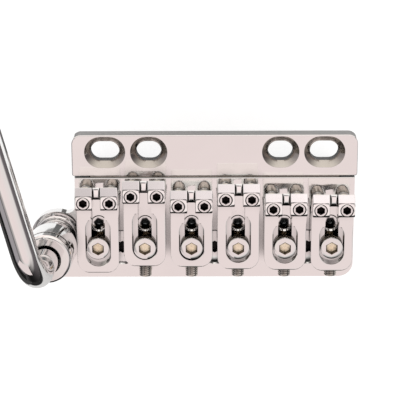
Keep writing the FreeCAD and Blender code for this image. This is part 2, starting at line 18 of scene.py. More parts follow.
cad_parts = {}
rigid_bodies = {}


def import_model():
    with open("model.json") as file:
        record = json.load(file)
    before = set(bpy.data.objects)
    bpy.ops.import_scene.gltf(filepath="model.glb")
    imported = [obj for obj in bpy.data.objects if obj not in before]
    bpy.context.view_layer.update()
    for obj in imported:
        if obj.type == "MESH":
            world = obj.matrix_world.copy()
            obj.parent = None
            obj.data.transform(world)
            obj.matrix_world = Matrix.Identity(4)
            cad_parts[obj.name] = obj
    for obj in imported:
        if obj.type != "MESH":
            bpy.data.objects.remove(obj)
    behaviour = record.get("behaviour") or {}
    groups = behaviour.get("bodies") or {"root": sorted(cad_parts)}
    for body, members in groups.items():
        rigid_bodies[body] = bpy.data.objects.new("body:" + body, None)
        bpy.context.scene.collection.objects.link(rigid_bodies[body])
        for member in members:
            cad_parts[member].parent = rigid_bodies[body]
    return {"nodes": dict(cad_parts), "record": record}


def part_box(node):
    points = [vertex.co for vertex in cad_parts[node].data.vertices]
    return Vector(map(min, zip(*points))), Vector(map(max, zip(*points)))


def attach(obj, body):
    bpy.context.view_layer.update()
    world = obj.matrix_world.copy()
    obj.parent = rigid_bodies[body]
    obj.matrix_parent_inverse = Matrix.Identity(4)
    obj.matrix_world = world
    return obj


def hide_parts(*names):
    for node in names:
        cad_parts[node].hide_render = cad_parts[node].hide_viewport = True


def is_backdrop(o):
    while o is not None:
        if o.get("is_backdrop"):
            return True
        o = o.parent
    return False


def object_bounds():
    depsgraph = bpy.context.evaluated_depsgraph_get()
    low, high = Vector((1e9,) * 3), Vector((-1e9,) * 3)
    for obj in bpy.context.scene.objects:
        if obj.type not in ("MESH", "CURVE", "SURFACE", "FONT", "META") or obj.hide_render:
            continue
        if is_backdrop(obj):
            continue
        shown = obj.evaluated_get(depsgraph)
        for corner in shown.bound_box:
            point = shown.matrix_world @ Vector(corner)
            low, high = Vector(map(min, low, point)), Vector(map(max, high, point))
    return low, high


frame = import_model()

LOG = logging.getLogger("tremolo_bridge")
MM = 0.001
TURN = 2.0 * math.pi
IMAGE_SIDE = 400
SENSOR_WIDTH = 36.0
FLOOR_GAP = 0.1 * MM

Colour = tuple[float, float, float]
Point = tuple[float, float, float]
Pair = tuple[float, float]
Inputs = dict[int | str, Any]

UPRIGHT: Point = (0.0, 0.0, 0.0)
LYING: Point = (TURN / 4, 0.0, 0.0)


class Slot(Enum):
    """Material slots of the record."""

    NICKEL = "polished_nickel"
    STEEL = "steel"
    NYLON = "bush_nylon"


class Side(Enum):
    """The two height screws of a saddle."""

    LEFT = "left"
    RIGHT = "right"


class SaddleFace(IntEnum):
    """Places of a saddle's finishes in its list of materials."""

    BODY = 0
    # The rim holds a painted dark reflection, the head a painted highlight.
    RIM = 1
    HEAD = 2


class ScrewZone(IntEnum):
    """Zones of a screw, from its thread to the floor of its socket."""

    SIDE = -1
    FACE = 0
    WALL = 1
    FLOOR = 2


class Sockets:
    """Adds and links the nodes of one tree."""

    NOISE_LOW = 0.3
    NOISE_HIGH = 0.7

    def __init__(self, tree: NodeTree) -> None:
        """Keep the tree that the nodes go into."""
        self.tree = tree

    def fill(self, node: Node, inputs: Inputs) -> None:
        """Feed the inputs of a node.

        Args:
            node: Node to feed.
            inputs: Output sockets to link and plain values to set, by the input's name or number.
        """
        for key, value in inputs.items():
            if isinstance(value, NodeSocket):
                self.tree.links.new(value, node.inputs[key])
            else:
                node.inputs[key].default_value = value

    def add(self, kind: str, inputs: Inputs | None = None, **settings: Any) -> Node:
        """Add a node.

        Args:
            kind: Blender's name of the node type.
            inputs: Output sockets and plain values for its inputs.
            settings: Properties of the node, by name.

        Returns:
            The new node.
        """
        node = self.tree.nodes.new(kind)
        for name, value in settings.items():
            setattr(node, name, value)
        self.fill(node, inputs or {})
        return node

    def math(self, operation: str, *terms: Any) -> NodeSocket:
        """Result of a math node on output sockets and numbers."""
        inputs = {index: term for index, term in enumerate(terms)}
        return self.add("ShaderNodeMath", inputs, operation=operation).outputs[0]

    def vector(self, operation: str, inputs: Inputs) -> NodeSocket:
        """Result of a vector math node."""
        return self.add("ShaderNodeVectorMath", inputs, operation=operation).outputs[0]

    def axes(self, vector: NodeSocket) -> NodeOutputs:
        """X, Y and Z of a vector."""
        return self.add("ShaderNodeSeparateXYZ", {0: vector}).outputs

    def noise(self, place: NodeSocket, scale: float, detail: float) -> NodeSocket:
        """Noise from 0 to 1, with its scale in cycles per metre."""
        inputs = {"Vector": place, "Scale": scale, "Detail": detail}
        return self.add("ShaderNodeTexNoise", inputs).outputs["Fac"]

    def ramp(self, value: NodeSocket, span: Pair, low: float, high: float) -> NodeSocket:
        """Map a span of values in a straight line to low and high, held at both ends."""
        inputs = {"Value": value, "From Min": span[0], "From Max": span[1], "To Min": low, "To Max": high}
        return self.add("ShaderNodeMapRange", inputs).outputs["Result"]

    def spread(self, value: NodeSocket, low: float, high: float) -> NodeSocket:
        """Map the useful middle of a noise or mark to a range."""
        return self.ramp(value, (self.NOISE_LOW, self.NOISE_HIGH), low, high)

    def blend(self, share: NodeSocket, deep: Colour, bright: Colour) -> NodeSocket:
        """Blend two colours by the share of the second."""
        inputs = {"Factor": share, "A": (*deep, 1.0), "B": (*bright, 1.0)}
        return self.add("ShaderNodeMix", inputs, data_type="RGBA").outputs["Result"]


def node_material(name: str) -> tuple[Material, Sockets, Node]:
    """Start a node material.

    Args:
        name: Name of the material.

    Returns:
        The material, the builder of its tree and its surface shader.
    """
    material = bpy.data.materials.new(name)
    material.use_nodes = True
    return material, Sockets(material.node_tree), material.node_tree.nodes["Principled BSDF"]


@dataclass(frozen=True)
class MetalFinish:
    """A bare or plated metal with polishing haze, fine marks and painted shade in narrow places."""

    name: str
    bright: Colour
    deep: Colour
    smoothest: float
    roughest: float
    haze_scale: float
    mark_scale: float
    mark_stretch: Point
    mark_strength: float
    # Painted shade: ambient occlusion darkens the base colour in narrow places (reach, strength, darkest
    # share, share counted as open).
    painted_shade_reach: float = 1.2 * MM
    painted_shade_power: float = 0.8
    painted_shade_floor: float = 0.0
    painted_shade_open: float = 1.0
    occlusion_samples: int = 12
    # Named point attribute whose marked points get painted shade, near black, and how dark it gets.
    painted_hole_shade: str = ""
    painted_hole_shade_depth: float = 0.97
    haze_detail: float = 3.0
    tint_scale_share: float = 0.2
    tint_detail: float = 2.0
    mark_detail: float = 4.0
    mark_depth: float = 0.02 * MM

    def painted_crevice_shade(self, sockets: Sockets, colour: NodeSocket) -> NodeSocket:
        """Paint shade into a colour in narrow places and near walls, where light doesn't reach.

        Args:
            sockets: Builder of the material's tree.
            colour: Colour of the open metal.

        Returns:
            The colour with painted shade.
        """
        nearby = sockets.add(
            "ShaderNodeAmbientOcclusion", {"Distance": self.painted_shade_reach}, samples=self.occlusion_samples)
        shade = sockets.math("MINIMUM", sockets.math("DIVIDE", nearby.outputs["AO"], self.painted_shade_open), 1.0)
        shade = sockets.math("POWER", shade, self.painted_shade_power)
        shade = sockets.math("MULTIPLY_ADD", shade, 1.0 - self.painted_shade_floor, self.painted_shade_floor)
        # Painted shade, near black, on the points marked in the named attribute: the string holes.
        if self.painted_hole_shade:
            hole_marks = sockets.add("ShaderNodeAttribute", attribute_name=self.painted_hole_shade).outputs["Fac"]
            unshaded_share = sockets.math("SUBTRACT", 1.0, sockets.spread(hole_marks, 0.0, self.painted_hole_shade_depth))
            shade = sockets.math("MULTIPLY", shade, unshaded_share)
        return sockets.vector("SCALE", {0: colour, "Scale": shade})

    def build(self) -> Material:
        """Make the material.

        Returns:
            The node material.
        """
        material, sockets, shader = node_material(self.name)
        place = sockets.add("ShaderNodeTexCoord").outputs["Object"]
        haze = sockets.noise(place, self.haze_scale, self.haze_detail)
        broad = sockets.noise(place, self.haze_scale * self.tint_scale_share, self.tint_detail)
        tint = sockets.blend(sockets.spread(broad, 0.0, 1.0), self.deep, self.bright)
        stretch = sockets.add("ShaderNodeMapping", {"Vector": place, "Scale": self.mark_stretch})
        marks = sockets.noise(stretch.outputs["Vector"], self.mark_scale, self.mark_detail)
        bump = sockets.add(
            "ShaderNodeBump", {"Strength": self.mark_strength, "Distance": self.mark_depth, "Height": marks})
        sockets.fill(shader, {
            "Metallic": 1.0,
            "Roughness": sockets.spread(haze, self.smoothest, self.roughest),
            "Base Color": self.painted_crevice_shade(sockets, tint),
            "Normal": bump.outputs["Normal"],
        })
        return material


@dataclass(frozen=True)
class PlasticFinish:
    """A moulded plastic with a dull, slightly uneven skin."""

    name: str
    bright: Colour
    deep: Colour
    smoothest: float
    roughest: float
    mottle_scale: float = 900.0
    mottle_detail: float = 3.0

    def build(self) -> Material:
        """Make the material.

        Returns:
            The node material.
        """
        material, sockets, shader = node_material(self.name)
        place = sockets.add("ShaderNodeTexCoord").outputs["Object"]
        mottle = sockets.noise(place, self.mottle_scale, self.mottle_detail)
        sockets.fill(shader, {
            "Roughness": sockets.spread(mottle, self.smoothest, self.roughest),
            "Base Color": sockets.blend(sockets.spread(mottle, 0.0, 1.0), self.deep, self.bright),
        })
        return material


POLISHED_NICKEL = MetalFinish(
    name="polished_nickel",
    bright=(0.82, 0.815, 0.81),
    deep=(0.79, 0.785, 0.78),
    smoothest=0.05,
    roughest=0.10,
    haze_scale=350.0,
    mark_scale=2500.0,
    mark_stretch=(1.0, 0.15, 1.0),
    mark_strength=0.03,
)
# The finishes below paint shade into narrow places, each with its own reach and strength.
FRONT_NICKEL = replace(
    POLISHED_NICKEL,
    name="front_nickel",
    painted_shade_reach=4.0 * MM,
    painted_shade_power=2.6,
    painted_shade_floor=0.05,
)
# Darker copy of the front's nickel: painted shade in the slots' countersinks, with a rougher finish as cut.
COUNTERSINK_NICKEL = replace(
    FRONT_NICKEL,
    name="countersink_nickel",
    bright=(0.50, 0.47, 0.44),
    deep=(0.44, 0.41, 0.38),
    smoothest=0.12,
    roughest=0.18,
)
# Bridge plate: painted shade near the saddles, and near-black painted shade in the string holes.
BRIDGE_NICKEL = replace(
    POLISHED_NICKEL,
    name="bridge_nickel",
    painted_shade_reach=3.5 * MM,
    painted_shade_power=1.0,
    painted_shade_floor=0.08,
    painted_shade_open=0.55,
    painted_hole_shade="painted_hole_shade",
)
SADDLE_NICKEL = replace(
    POLISHED_NICKEL,
    name="saddle_nickel",
    painted_shade_reach=2.5 * MM,
    painted_shade_power=1.0,
    painted_shade_floor=0.55,
)
# Darker copy of the saddle's nickel: painted dark reflection on the rounded rims and broken edges.
SHADED_RIM_NICKEL = replace(SADDLE_NICKEL, name="shaded_rim_nickel", bright=(0.42, 0.40, 0.39), deep=(0.38, 0.36, 0.35))
# Brighter copy of the saddle's nickel: painted highlight on the top of the head.
LIT_HEAD_NICKEL = replace(SADDLE_NICKEL, name="lit_head_nickel", bright=(0.97, 0.97, 0.965), deep=(0.95, 0.95, 0.945))
# Collar and socket: deep painted shade where they stand close to the ear, arm and saddles.
COLLAR_NICKEL = replace(
    POLISHED_NICKEL,
    name="collar_nickel",
    painted_shade_reach=8.0 * MM,
    painted_shade_power=2.2,
    painted_shade_floor=0.03,
    painted_shade_open=0.6,
)
SCREW_STEEL = MetalFinish(
    name="screw_steel",
    bright=(0.64, 0.60, 0.55),
    deep=(0.54, 0.50, 0.45),
    smoothest=0.12,
    roughest=0.24,
    haze_scale=900.0,
    mark_scale=4000.0,
    mark_stretch=(1.0, 1.0, 0.3),
    mark_strength=0.06,
    painted_shade_reach=2.5 * MM,
    painted_shade_power=1.2,
)
BLOCK_STEEL = MetalFinish(
    name="block_steel",
    bright=(0.62, 0.61, 0.60),
    deep=(0.52, 0.51, 0.50),
    smoothest=0.22,
    roughest=0.36,
    haze_scale=400.0,
    mark_scale=3000.0,
    mark_stretch=(0.06, 1.0, 1.0),
    mark_strength=0.25,
    painted_shade_reach=6.0 * MM,
    painted_shade_power=3.0,
)
# Painted shade: near black for the inside of hexagon sockets, where light doesn't reach.
SHADED_SOCKET = MetalFinish(
    name="shaded_socket",
    bright=(0.035, 0.03, 0.03),
    deep=(0.015, 0.014, 0.014),
    smoothest=0.35,
    roughest=0.5,
    haze_scale=1500.0,
    mark_scale=4000.0,
    mark_stretch=(1.0, 1.0, 1.0),
    mark_strength=0.1,
)
# Painted light: a bright warm copy for the lit floor of the lock screws' sockets.
LIT_WARM_SOCKET = replace(
    SHADED_SOCKET,
    name="lit_warm_socket",
    bright=(0.98, 0.90, 0.72),
    deep=(0.86, 0.74, 0.54),
    smoothest=0.2,
    roughest=0.35,
    painted_shade_reach=0.8 * MM,
    painted_shade_power=1.2,
)
# Painted shade: a dark brown copy for the lock screws' socket walls and head sides.
SHADED_BROWN_SOCKET = replace(LIT_WARM_SOCKET, name="shaded_brown_socket", bright=(0.15, 0.11, 0.07), deep=(0.09, 0.065, 0.04))
BUSH_NYLON = PlasticFinish(
    name="bush_nylon",
    bright=(0.82, 0.80, 0.74),
    deep=(0.74, 0.72, 0.66),
    smoothest=0.45,
    roughest=0.6,
)


class Palette:
    """The materials, made once."""

    def __init__(self) -> None:
        """Build every finish."""
        self.nickel = POLISHED_NICKEL.build()
        self.front = FRONT_NICKEL.build()
        self.countersink = COUNTERSINK_NICKEL.build()
        self.bridge = BRIDGE_NICKEL.build()
        self.saddle = SADDLE_NICKEL.build()
        self.saddle_edge = SHADED_RIM_NICKEL.build()
        self.saddle_head_highlight = LIT_HEAD_NICKEL.build()
        self.collar = COLLAR_NICKEL.build()
        self.screw = SCREW_STEEL.build()
        self.block = BLOCK_STEEL.build()
        self.shaded_socket = SHADED_SOCKET.build()
        self.lit_warm_socket = LIT_WARM_SOCKET.build()
        self.shaded_brown_socket = SHADED_BROWN_SOCKET.build()
        self.nylon = BUSH_NYLON.build()


def body_of(node: str) -> str:
    """Name of the body that carries a node.

    Args:
        node: CAD node.

    Returns:
        The body's name.
    """
    for body, members in frame["record"]["behaviour"]["bodies"].items():
        if node in members:
            return body
    raise KeyError(node)


def settle(piece: Object, node: str) -> None:
    """Let a finished piece stand for a node and ride on its body.

    Args:
        piece: Finished mesh object at the origin.
        node: CAD node that it stands for.
    """
    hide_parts(node)
    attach(piece, body_of(node))
    LOG.info("%s: %d faces, on %s", piece.name, len(piece.data.polygons), body_of(node))


@dataclass
class EdgeBreak:
    """How a solid's edges are broken and its faces shaded."""

    width: float = 0.1 * MM
    segments: int = 2
    broken_index: int = 0
    clamp: bool = True
    roundness: float = 0.6
    spare: Callable[[Vector], bool] = lambda point: False
    sharp_degrees: float = 30.0
    weld: float = 0.001 * MM
    flat_degrees: float = 0.5

    def apply(self, source: Mesh, name: str) -> Mesh:
        """Copy a solid's mesh with broken edges.

        Args:
            source: Loose triangles of a CAD node.
            name: Name of the new mesh.

        Returns:
            The new mesh, smooth with true flat faces.
        """
        shape = bmesh.new()
        shape.from_mesh(source)
        bmesh.ops.remove_doubles(shape, verts=shape.verts, dist=self.weld)
        bmesh.ops.dissolve_limit(
            shape, angle_limit=math.radians(self.flat_degrees), verts=shape.verts, edges=shape.edges)
        limit = math.radians(self.sharp_degrees)
        edges = [
            edge for edge in shape.edges
            if len(edge.link_faces) == 2 and edge.calc_face_angle(0.0) > limit
            and not any(self.spare(vertex.co) for vertex in edge.verts)
        ]
        bmesh.ops.bevel(
            shape, geom=edges, offset=self.width, offset_type="OFFSET", segments=self.segments,
            profile=self.roundness, affect="EDGES", clamp_overlap=self.clamp, material=self.broken_index,
            face_strength_mode="ALL")
        mesh = bpy.data.meshes.new(name)
        shape.to_mesh(mesh)
        shape.free()
        for polygon in mesh.polygons:
            polygon.use_smooth = True
        mesh.set_sharp_from_angle(angle=limit)
        return mesh


class Workshop:
    """Shared tools that turn nodes into finished pieces."""

    def __init__(self, palette: Palette) -> None:
        """Keep the materials of the scene."""
        self.palette = palette

    def show(self, mesh: Mesh, name: str) -> Object:
        """Put a mesh into the scene.

        Args:
            mesh: Mesh with its place in its vertices.
            name: Name of the piece.

        Returns:
            The new object.
        """
        piece = bpy.data.objects.new(name, mesh)
        bpy.context.scene.collection.objects.link(piece)
        return piece

    def weighted(self, piece: Object) -> None:
        """Bend the normals so that flat faces stay flat beside broken edges.

        Args:
            piece: Object with broken edges.
        """
        modifier = piece.modifiers.new("flat_faces", "WEIGHTED_NORMAL")
        modifier.keep_sharp = True
        modifier.use_face_influence = True
        self.freeze(piece)

    def freeze(self, piece: Object) -> None:
        """Turn a piece's modifiers into plain mesh.

        Args:
            piece: Object whose modifiers are done.
        """
        graph = bpy.context.evaluated_depsgraph_get()
        graph.update()
        mesh = bpy.data.meshes.new_from_object(piece.evaluated_get(graph), depsgraph=graph)
        piece.modifiers.clear()
        mesh.name = piece.name
        piece.data = mesh

    def dress(
        self, node: str, material: Material, slot: Slot, edges: EdgeBreak,
        others: Sequence[Material] = (),
    ) -> Object:
        """Finish a node from a copy of its own mesh.

        Args:
            node: CAD node.
            material: Finish of the whole piece.
            slot: Slot of the record; not used.
            edges: How its edges are broken.
            others: Further finishes, for faces that are marked later.

        Returns:
            The finished piece.
        """
        mesh = edges.apply(frame["nodes"][node].data, f"{node}_finished")
        mesh.materials.clear()
        for finish in (material, *others):
            mesh.materials.append(finish)
        piece = self.show(mesh, f"{node}_finished")
        self.weighted(piece)
        settle(piece, node)
        return piece


@dataclass(frozen=True)
class ProfileRow:
    """One ring of a turned screw, from its foot to the floor of its socket."""

    radius: float
    height: float
    thread: float = 0.0
    hexagon: float = 0.0
    zone: ScrewZone = ScrewZone.FACE


class ScrewTree:
    """Geometry Nodes that turn a profile into a threaded screw with a hexagon socket."""

    PROFILE_NAMES = ("thread", "hexagon", "zone")
    ZONE_NAME = "screw_zone"
    WELD = 0.0005 * MM
    GRID_SIDE = 1.0
    HALF_PITCH = 0.5
    FINISH_LEVELS = {"Side Finish": -2.0, "Face Finish": -0.6, "Wall Finish": 0.6, "Floor Finish": 1.6}
    INPUTS = {
        "Geometry": ("Profile",),
        "Int": ("Columns", "Count"),
        "Float": ("Pitch", "Thread Depth"),
        "Vector": ("Start", "Step", "Lean"),
        "Material": tuple(FINISH_LEVELS),
    }

    def __init__(self) -> None:
        """Build the tree."""
        self.tree = bpy.data.node_groups.new("socket_screw", "GeometryNodeTree")
        self.tree.is_modifier = True
        self.ids: dict[str, str] = {}
        interface = self.tree.interface
        for kind, names in self.INPUTS.items():
            for name in names:
                socket = interface.new_socket(name, in_out="INPUT", socket_type=f"NodeSocket{kind}")
                self.ids[name] = socket.identifier
        interface.new_socket("Screw", in_out="OUTPUT", socket_type="NodeSocketGeometry")
        self.wire()

    def sampled(self, sockets: Sockets, row: Inputs, value: NodeSocket, kind: str) -> NodeSocket:
        """Read a value of the profile at a row."""
        inputs = {**row, "Value": value}
        return sockets.add("GeometryNodeSampleIndex", inputs, data_type=kind, domain="POINT").outputs["Value"]

    def named(self, sockets: Sockets, name: str) -> NodeSocket:
        """Read a named number."""
        node = sockets.add("GeometryNodeInputNamedAttribute", {"Name": name}, data_type="FLOAT")
        return node.outputs["Attribute"]

    def wire(self) -> None:
        """Lay out the whole tree."""
        sockets = Sockets(self.tree)
        given = sockets.add("NodeGroupInput").outputs
        profile = given["Profile"]
        rows = sockets.add("GeometryNodeAttributeDomainSize", {"Geometry": profile}, component="MESH")
        row_count = rows.outputs["Point Count"]
        grid = sockets.add("GeometryNodeMeshGrid", {
            "Size X": self.GRID_SIDE,
            "Size Y": self.GRID_SIDE,
            "Vertices X": sockets.math("ADD", given["Columns"], 1.0),
            "Vertices Y": row_count,
        })
        position = sockets.add("GeometryNodeInputPosition").outputs[0]
        flat = sockets.axes(position)
        share = sockets.math("ADD", flat["X"], self.GRID_SIDE / 2)
        angle = sockets.math("MULTIPLY", share, TURN)
        last_row = sockets.math("SUBTRACT", row_count, 1.0)
        row_share = sockets.math("ADD", flat["Y"], self.GRID_SIDE / 2)
        index = sockets.math("ROUND", sockets.math("MULTIPLY", row_share, last_row))
        row = {"Geometry": profile, "Index": index}
        ring = sockets.axes(self.sampled(sockets, row, position, "FLOAT_VECTOR"))
        thread, hexagon, zone = (
            self.sampled(sockets, row, self.named(sockets, name), "FLOAT") for name in self.PROFILE_NAMES)

        wound = sockets.math("SUBTRACT", sockets.math("DIVIDE", ring["Z"], given["Pitch"]), share)
        wave = sockets.math("DIVIDE", sockets.math("PINGPONG", wound, self.HALF_PITCH), self.HALF_PITCH)
        cut = sockets.math("MULTIPLY", sockets.math("MULTIPLY", wave, given["Thread Depth"]), thread)
        sixth = TURN / 6
        turned = sockets.math("ADD", angle, sixth / 2)
        within = sockets.math("SUBTRACT", sockets.math("MODULO", turned, sixth), sixth / 2)
        flat_radius = sockets.math("DIVIDE", ring["X"], sockets.math("COSINE", within))
        bulge = sockets.math("MULTIPLY", hexagon, sockets.math("SUBTRACT", flat_radius, ring["X"]))
        radius = sockets.math("ADD", sockets.math("SUBTRACT", ring["X"], cut), bulge)
        spot = sockets.add("ShaderNodeCombineXYZ", {
            "X": sockets.math("MULTIPLY", radius, sockets.math("COSINE", angle)),
            "Y": sockets.math("MULTIPLY", radius, sockets.math("SINE", angle)),
            "Z": ring["Z"],
        })

        marked = {"Geometry": grid.outputs["Mesh"], "Name": self.ZONE_NAME, "Value": zone}
        stored = sockets.add("GeometryNodeStoreNamedAttribute", marked, data_type="FLOAT", domain="POINT")
        placed = sockets.add(
            "GeometryNodeSetPosition", {"Geometry": stored.outputs["Geometry"], "Position": spot.outputs[0]})
        merged = sockets.add(
            "GeometryNodeMergeByDistance", {"Geometry": placed.outputs["Geometry"], "Distance": self.WELD})

        places = {"Count": given["Count"], "Start Location": given["Start"], "Offset": given["Step"]}
        line = sockets.add("GeometryNodeMeshLine", places, mode="OFFSET")
        copies = sockets.add("GeometryNodeInstanceOnPoints", {
            "Points": line.outputs["Mesh"],
            "Instance": merged.outputs["Geometry"],
            "Rotation": sockets.add("FunctionNodeEulerToRotation", {0: given["Lean"]}).outputs[0],
        })
        real = sockets.add("GeometryNodeRealizeInstances", {"Geometry": copies.outputs["Instances"]})
        dressed = real.outputs["Geometry"]
        zones = self.named(sockets, self.ZONE_NAME)
        for finish, level in self.FINISH_LEVELS.items():
            deep = sockets.add(
                "FunctionNodeCompare", {"A": zones, "B": level}, data_type="FLOAT", operation="GREATER_THAN")
            coat = sockets.add("GeometryNodeSetMaterial", {
                "Geometry": dressed,
                "Selection": deep.outputs["Result"],
                "Material": given[finish],
            })
            dressed = coat.outputs["Geometry"]
        sockets.add("NodeGroupOutput", {"Screw": dressed})


@dataclass(frozen=True)
class Screw:
    """Sizes of one screw, built with its foot at zero and its socket upwards."""

    foot_radius: float
    foot_height: float
    socket_flats: float
    socket_depth: float
    thread_radius: float = 1.5 * MM
    thread_length: float = 0.0
    head_radius: float = 0.0
    head_height: float = 0.0
    head_chamfer: float = 0.25 * MM
    under_chamfer_share: float = 0.4
    crown_share: float = 0.3
    countersunk: bool = False
    sunk_inset: float = 0.15 * MM
    sunk_rim_low: float = 0.18 * MM
    sunk_rim_high: float = 0.08 * MM
    end_inset: float = 0.16 * MM
    end_land: float = 0.03 * MM
    end_drop: float = 0.13 * MM
    pitch: float = 0.5 * MM
    thread_depth: float = 0.24 * MM
    run_out: float = 0.3 * MM
    socket_lead: float = 0.1 * MM
    mouth_land: float = 0.01 * MM
    floor_share: float = 0.98
    cone_share: float = 0.4
    rows_for_each_turn: int = 8
    columns: int = 48

    @property
    def top(self) -> float:
        """Height of the face with the socket."""
        return self.thread_length + self.head_height

    def reaching(self, length: float) -> "Screw":
        """The same screw, of a given length over all."""
        return replace(self, thread_length=length - self.head_height)

    def thread(self) -> list[ProfileRow]:
        """Rings of the thread.

        Returns:
            The rings, close enough to draw each ridge.
        """
        low, high = self.foot_height, self.thread_length - self.run_out
        count = max(2, round((high - low) / self.pitch * self.rows_for_each_turn))
        heights = (low + (high - low) * index / count for index in range(count + 1))
        return [ProfileRow(self.thread_radius, height, thread=1.0, zone=ScrewZone.SIDE) for height in heights]

    def set_end(self) -> list[ProfileRow]:
        """Rings of the plain end of a set screw."""
        return [
            ProfileRow(self.thread_radius - self.end_land, self.top - self.end_drop),
            ProfileRow(self.thread_radius - self.end_inset, self.top),
        ]

    def sunk_head(self) -> list[ProfileRow]:
        """Rings of a countersunk head."""
        return [
            ProfileRow(self.thread_radius - self.thread_depth, self.thread_length),
            ProfileRow(self.head_radius, self.top - self.sunk_rim_low),
            ProfileRow(self.head_radius, self.top - self.sunk_rim_high),
            ProfileRow(self.head_radius - self.sunk_inset, self.top),
        ]

    def cap_head(self) -> list[ProfileRow]:
        """Rings of a cylinder head with broken edges.

        Returns:
            The rings in order.
        """
        edge = self.under_chamfer_share * self.head_chamfer
        crown = self.crown_share * self.head_chamfer
        side = (
            (self.thread_radius - self.thread_depth, self.thread_length),
            (self.head_radius - edge, self.thread_length),
            (self.head_radius, self.thread_length + edge),
            (self.head_radius, self.top - self.head_chamfer),
        )
        return [ProfileRow(radius, height, zone=ScrewZone.SIDE) for radius, height in side] + [
            ProfileRow(self.head_radius - crown, self.top - crown),
            ProfileRow(self.head_radius - self.head_chamfer, self.top),
        ]

    def socket(self) -> list[ProfileRow]:
        """Rings of the hexagon socket.

        Returns:
            The rings from the mouth to the middle of the floor.
        """
        flats = self.socket_flats / 2
        mouth = flats + self.socket_lead
        floor = self.top - self.socket_depth
        return [
            ProfileRow(mouth + self.mouth_land, self.top, hexagon=1.0),
            ProfileRow(mouth, self.top, hexagon=1.0, zone=ScrewZone.WALL),
            ProfileRow(flats, self.top - self.socket_lead, hexagon=1.0, zone=ScrewZone.WALL),
            ProfileRow(flats, floor, hexagon=1.0, zone=ScrewZone.WALL),
            ProfileRow(self.floor_share * flats, floor, hexagon=1.0, zone=ScrewZone.FLOOR),
            ProfileRow(0.0, floor - self.cone_share * flats, zone=ScrewZone.FLOOR),
        ]

    def profile(self) -> list[ProfileRow]:
        """Rings from the foot's middle to the socket's middle.

        Returns:
            The rings in order.
        """
        if self.head_height <= 0.0:
            end = self.set_end()
        elif self.countersunk:
            end = self.sunk_head()
        else:
            end = self.cap_head()
        foot = [ProfileRow(0.0, 0.0), ProfileRow(self.foot_radius, 0.0)]
        return foot + self.thread() + end + self.socket()


@dataclass(frozen=True)
class ScrewFinishes:
    """Materials of one screw."""

    side: Material
    face: Material
    walls: Material
    floor: Material


class ScrewMaker:
    """Makes screws with the shared tree."""

    SHARP_DEGREES = 35.0

    def __init__(self, workshop: Workshop) -> None:
        """Keep the shared tools and build the tree once."""
        self.workshop = workshop
        self.tree = ScrewTree()

    def make(
        self, node: str, screw: Screw, start: Vector, lean: Point, finishes: ScrewFinishes, slot: Slot,
        count: int = 1, step: Point = (0.0, 0.0, 0.0),
    ) -> None:
        """Make the screw or screws of one node.

        Args:
            node: CAD node that the screws stand for.
            screw: Sizes of the screw.
            start: Place of the first screw's foot.
            lean: Turn of the screw's axis from +Z.
            finishes: Materials of the side, the end face, the socket's walls and its floor.
            slot: Slot of the record; not used.
            count: Number of screws.
            step: Way from one screw to the next.
        """
        rows = screw.profile()
        mesh = bpy.data.meshes.new(f"{node}_profile")
        mesh.from_pydata([(row.radius, 0.0, row.height) for row in rows], [], [])
        for name in ScrewTree.PROFILE_NAMES:
            layer = mesh.attributes.new(name, "FLOAT", "POINT")
            layer.data.foreach_set("value", [float(getattr(row, name)) for row in rows])
        piece = self.workshop.show(mesh, f"{node}_finished")
        modifier = piece.modifiers.new("socket_screw", "NODES")
        modifier.node_group = self.tree.tree
        values = {
            "Columns": screw.columns, "Pitch": screw.pitch, "Thread Depth": screw.thread_depth,
            "Start": tuple(start), "Step": step, "Count": count, "Lean": lean,
            "Side Finish": finishes.side, "Face Finish": finishes.face, "Wall Finish": finishes.walls,
            "Floor Finish": finishes.floor,
        }
        for name, value in values.items():
            modifier[self.tree.ids[name]] = value
        self.workshop.freeze(piece)
        for polygon in piece.data.polygons:
            polygon.use_smooth = True
        piece.data.set_sharp_from_angle(angle=math.radians(self.SHARP_DEGREES))
        settle(piece, node)


